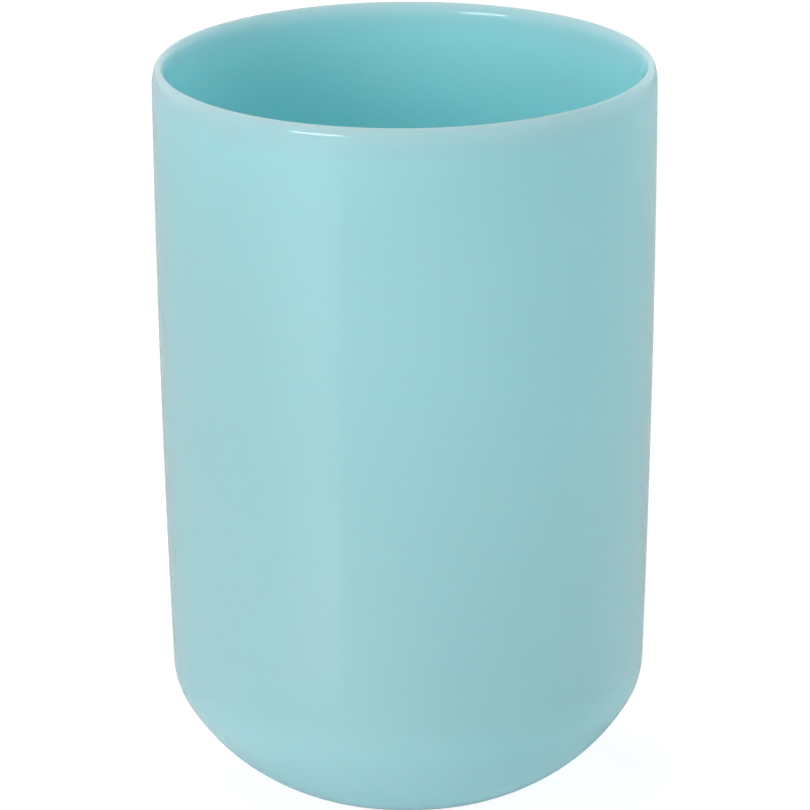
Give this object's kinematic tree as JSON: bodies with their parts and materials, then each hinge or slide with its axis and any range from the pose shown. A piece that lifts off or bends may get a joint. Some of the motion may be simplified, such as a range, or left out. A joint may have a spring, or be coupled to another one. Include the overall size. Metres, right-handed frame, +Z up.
{
  "type": "tumbler cup",
  "caption": "Single-wall bathroom tumbler with a rounded rim, a gently curved wall, a bellied base and a soft non-slip ring set in a groove of its foot.",
  "frame": {"origin": "middle of the circle that the cup stands on", "axes": "+Z up along the cup's axis, towards the rim; the cup is round, so +X and +Y are free"},
  "size_m": [0.07, 0.07, 0.104],
  "materials": {
    "aqua_plastic": "smooth moulded plastic, softly glossy and slightly translucent",
    "soft_ring": "matt soft elastomer, pale grey"
  },
  "bodies": {
    "root": {"tumbler_body": "aqua_plastic", "non_slip_ring": "soft_ring"}
  },
  "joints": []
}
